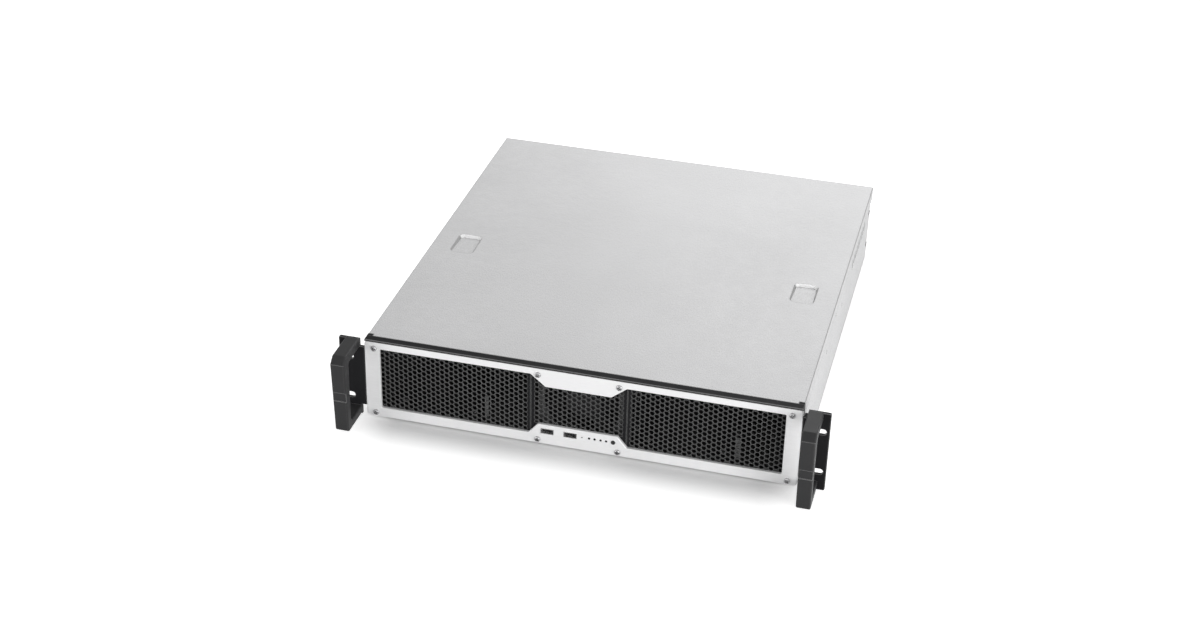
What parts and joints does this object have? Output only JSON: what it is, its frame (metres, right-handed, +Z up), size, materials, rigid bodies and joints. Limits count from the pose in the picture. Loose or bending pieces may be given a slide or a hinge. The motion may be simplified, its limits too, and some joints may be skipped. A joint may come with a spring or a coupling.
{
  "type": "empty rackmount server case",
  "caption": "Low rackmount server case with honeycomb front grilles, bow handles, slotted ears and a sliding top cover.",
  "frame": {"origin": "middle of the whole case's footprint, on the underside", "axes": "+X to the right seen from the front, +Y from the bezel to the rear, +Z up"},
  "size_m": [0.4826, 0.5232, 0.088],
  "materials": {
    "zinc_steel": "zinc-plated sheet, fine grain",
    "black_coat": "fine satin black powder coat",
    "handle_coat": "satin dark grey coat",
    "bezel_aluminium": "satin silver",
    "screw_steel": "bright zinc",
    "socket_steel": "bright nickel",
    "post_brass": "turned",
    "black_plastic": "matte",
    "button_plastic": "satin",
    "lamp_plastic": "clear grey, unlit",
    "circuit_board": "solder mask"
  },
  "bodies": {
    "case": {"base_tray": "zinc_steel", "front_panel": "black_coat", "bay_grille_left": "black_coat", "bay_grille_right": "black_coat", "bezel_frame": "bezel_aluminium", "bezel_screws": "screw_steel", "ear_left": "black_coat", "ear_right": "black_coat", "ear_screws": "screw_steel", "handle_left": "handle_coat", "handle_right": "handle_coat", "handle_screws": "screw_steel", "rear_panel": "zinc_steel", "rivets": "screw_steel", "slot_screws": "screw_steel", "board_posts": "post_brass", "drive_cage_left": "black_coat", "drive_cage_right": "black_coat", "cage_screws": "screw_steel", "fan_bracket": "zinc_steel", "fan_frame": "black_plastic", "fan_screws": "screw_steel", "psu_saddle": "zinc_steel", "front_io_board": "circuit_board", "io_posts": "screw_steel", "usb_shells": "socket_steel", "usb_tongues": "black_plastic", "status_leds": "lamp_plastic", "power_switch": "black_plastic", "reset_switch": "black_plastic", "slot_cover_1": "zinc_steel", "slot_cover_2": "zinc_steel", "slot_cover_3": "zinc_steel", "slot_cover_4": "zinc_steel", "slot_cover_5": "zinc_steel", "slot_cover_6": "zinc_steel", "slot_cover_7": "zinc_steel"},
    "cover": {"top_cover": "zinc_steel", "cover_studs": "screw_steel"},
    "left_thumbscrew": {"thumbscrew_left": "screw_steel"},
    "right_thumbscrew": {"thumbscrew_right": "screw_steel"},
    "fan": {"fan_rotor": "black_plastic"},
    "power_key": {"power_button": "button_plastic"},
    "reset_key": {"reset_button": "black_plastic"}
  },
  "joints": [
    {"name": "cover_slide", "type": "slide", "parent": "case", "child": "cover", "axis": [0, 1, 0], "range_m": [0, 0.014]},
    {"name": "left_thumbscrew_spin", "type": "hinge", "parent": "cover", "child": "left_thumbscrew", "pos_m": [-0.05, 0.2514, 0.0775], "axis": [0, 1, 0], "continuous": true},
    {"name": "right_thumbscrew_spin", "type": "hinge", "parent": "cover", "child": "right_thumbscrew", "pos_m": [0.05, 0.2514, 0.0775], "axis": [0, 1, 0], "continuous": true},
    {"name": "fan_spin", "type": "hinge", "parent": "case", "child": "fan", "pos_m": [0, -0.1869, 0.0426], "axis": [0, 1, 0], "continuous": true},
    {"name": "power_press", "type": "slide", "parent": "case", "child": "power_key", "axis": [0, 1, 0], "range_m": [0, 0.0015], "stiffness_N_per_m": 400, "springref_m": -0.0005},
    {"name": "reset_press", "type": "slide", "parent": "case", "child": "reset_key", "axis": [0, 1, 0], "range_m": [0, 0.0008], "stiffness_N_per_m": 300, "springref_m": -0.0003}
  ]
}
